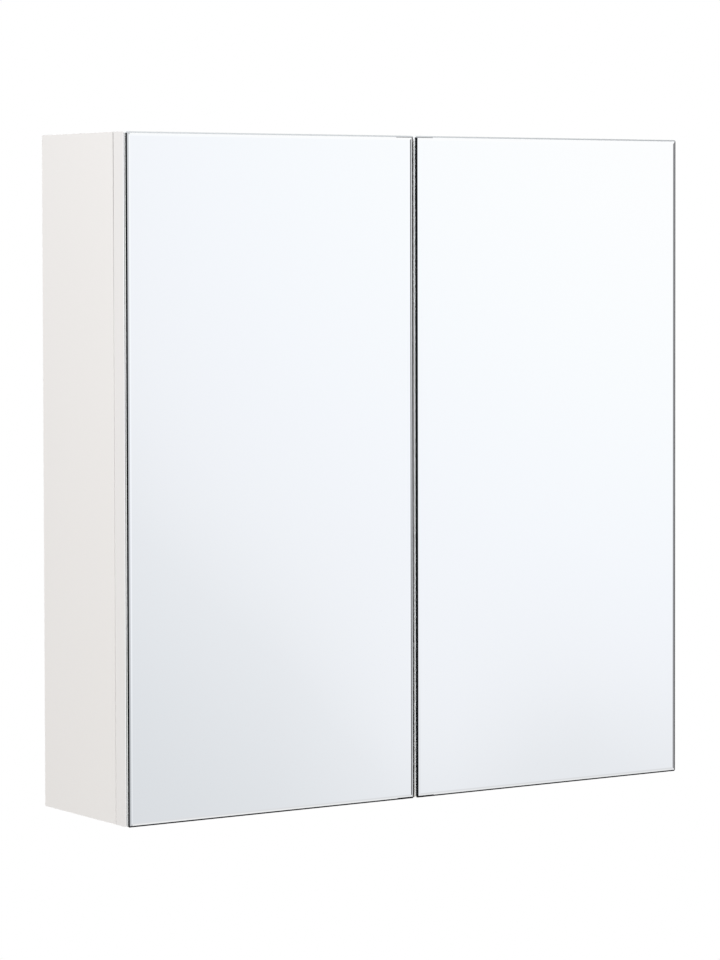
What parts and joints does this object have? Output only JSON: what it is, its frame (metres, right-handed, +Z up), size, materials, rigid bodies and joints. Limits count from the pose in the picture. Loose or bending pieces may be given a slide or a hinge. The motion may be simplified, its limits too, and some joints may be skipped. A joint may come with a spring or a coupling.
{
  "type": "bathroom mirror cabinet",
  "caption": "Wall-hung bathroom cabinet with mirror doors on concealed hinges, inner shelves and a finger recess along the bottom.",
  "frame": {"origin": "centre of the four wall-screw holes, on the wall plane", "axes": "+Z up, +Y into the wall, the mirror doors face -Y, +X is the viewer's right"},
  "size_m": [0.6, 0.15, 0.6],
  "materials": {
    "white_lacquer": "satin white lacquered fibreboard",
    "silvered_glass": "silvered float glass with ground edges",
    "back_board": "white faced hardboard, bare at the rear",
    "rail_board": "white melamine faced board",
    "nickel_plate": "nickel-plated pressed steel",
    "pin_steel": "bright zinc-plated steel",
    "cast_zinc": "tumbled zinc casting",
    "beech": "fluted beech",
    "buffer_plastic": "soft milky buffer"
  },
  "bodies": {
    "cabinet": {"side_panel_left": "white_lacquer", "side_panel_right": "white_lacquer", "top_panel": "white_lacquer", "bottom_panel": "white_lacquer", "back_panel": "back_board", "hanging_rail_upper": "rail_board", "hanging_rail_lower": "rail_board", "shelf_upper": "white_lacquer", "shelf_lower": "white_lacquer", "shelf_pins_upper": "pin_steel", "shelf_pins_lower": "pin_steel", "cams": "cast_zinc", "cam_bolts": "pin_steel", "dowels": "beech", "mounting_plate_left_upper": "nickel_plate", "mounting_plate_left_lower": "nickel_plate", "mounting_plate_right_upper": "nickel_plate", "mounting_plate_right_lower": "nickel_plate", "plate_screws_left_upper": "pin_steel", "plate_screws_left_lower": "pin_steel", "plate_screws_right_upper": "pin_steel", "plate_screws_right_lower": "pin_steel", "hinge_arm_left_upper": "nickel_plate", "hinge_arm_left_lower": "nickel_plate", "hinge_arm_right_upper": "nickel_plate", "hinge_arm_right_lower": "nickel_plate", "arm_pins_left_upper": "pin_steel", "arm_pins_left_lower": "pin_steel", "arm_pins_right_upper": "pin_steel", "arm_pins_right_lower": "pin_steel"},
    "left_door": {"door_board_left": "white_lacquer", "mirror_left": "silvered_glass", "door_buffers_left": "buffer_plastic", "hinge_cup_left_upper": "nickel_plate", "hinge_cup_left_lower": "nickel_plate", "cup_pins_left_upper": "pin_steel", "cup_pins_left_lower": "pin_steel", "cup_screws_left_upper": "pin_steel", "cup_screws_left_lower": "pin_steel"},
    "left_outer_links": {"outer_link_left_upper": "nickel_plate", "outer_link_left_lower": "nickel_plate"},
    "left_inner_links": {"inner_link_left_upper": "nickel_plate", "inner_link_left_lower": "nickel_plate"},
    "right_door": {"door_board_right": "white_lacquer", "mirror_right": "silvered_glass", "door_buffers_right": "buffer_plastic", "hinge_cup_right_upper": "nickel_plate", "hinge_cup_right_lower": "nickel_plate", "cup_pins_right_upper": "pin_steel", "cup_pins_right_lower": "pin_steel", "cup_screws_right_upper": "pin_steel", "cup_screws_right_lower": "pin_steel"},
    "right_outer_links": {"outer_link_right_upper": "nickel_plate", "outer_link_right_lower": "nickel_plate"},
    "right_inner_links": {"inner_link_right_upper": "nickel_plate", "inner_link_right_lower": "nickel_plate"}
  },
  "joints": [
    {"name": "left_outer_link_pivot", "type": "hinge", "parent": "cabinet", "child": "left_outer_links", "pos_m": [-0.267, -0.1148, 0], "axis": [0, 0, -1], "range_deg": [-36, 0]},
    {"name": "left_door_swing", "type": "hinge", "parent": "left_outer_links", "child": "left_door", "pos_m": [-0.2904, -0.1302, 0], "axis": [0, 0, -1], "range_deg": [0, 130]},
    {"name": "left_inner_link_pivot", "type": "hinge", "parent": "cabinet", "child": "left_inner_links", "pos_m": [-0.277, -0.1275, 0], "axis": [0, 0, -1], "range_deg": [-60, 0]},
    {"name": "right_outer_link_pivot", "type": "hinge", "parent": "cabinet", "child": "right_outer_links", "pos_m": [0.267, -0.1148, 0], "axis": [0, 0, 1], "range_deg": [-36, 0]},
    {"name": "right_door_swing", "type": "hinge", "parent": "right_outer_links", "child": "right_door", "pos_m": [0.2904, -0.1302, 0], "axis": [0, 0, 1], "range_deg": [0, 130]},
    {"name": "right_inner_link_pivot", "type": "hinge", "parent": "cabinet", "child": "right_inner_links", "pos_m": [0.277, -0.1275, 0], "axis": [0, 0, 1], "range_deg": [-60, 0]}
  ],
  "couplings": [
    {"joint": "left_outer_link_pivot", "follows": "left_door_swing", "ratio": -0.27273},
    {"joint": "left_inner_link_pivot", "follows": "left_door_swing", "ratio": -0.4582},
    {"joint": "right_outer_link_pivot", "follows": "right_door_swing", "ratio": -0.27273},
    {"joint": "right_inner_link_pivot", "follows": "right_door_swing", "ratio": -0.4582}
  ]
}
